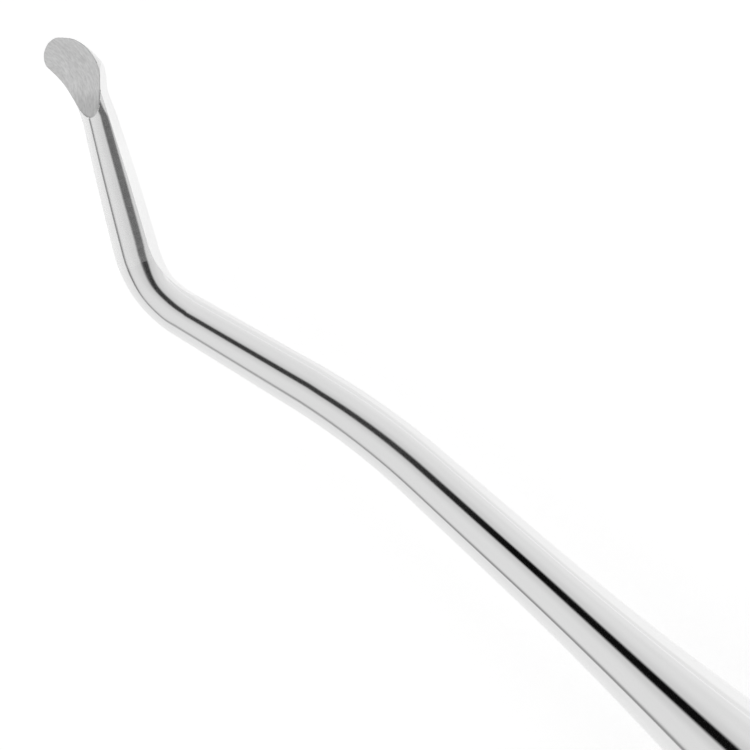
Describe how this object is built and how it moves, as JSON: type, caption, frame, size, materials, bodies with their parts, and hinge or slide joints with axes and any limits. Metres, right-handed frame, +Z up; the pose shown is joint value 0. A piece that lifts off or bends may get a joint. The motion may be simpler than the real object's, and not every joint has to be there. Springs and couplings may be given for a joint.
{
  "type": "dental spoon excavator",
  "caption": "Slim double-ended steel hand instrument: eight-sided handle, bent tapering shanks and small scooped cutting blades for removing soft tooth decay.",
  "frame": {"origin": "on the surface that the instrument lies on, under the middle of the handle", "axes": "+X along the handle, towards one working end; +Y across the handle, on the side the blades hook towards; +Z up, the way both blade faces look"},
  "size_m": [0.1648, 0.006, 0.006],
  "materials": {
    "polished_steel": "mirror-polished stainless steel, with blade faces and shank flats ground to a fine satin"
  },
  "bodies": {
    "root": {"spoon_excavator": "polished_steel"}
  },
  "joints": []
}
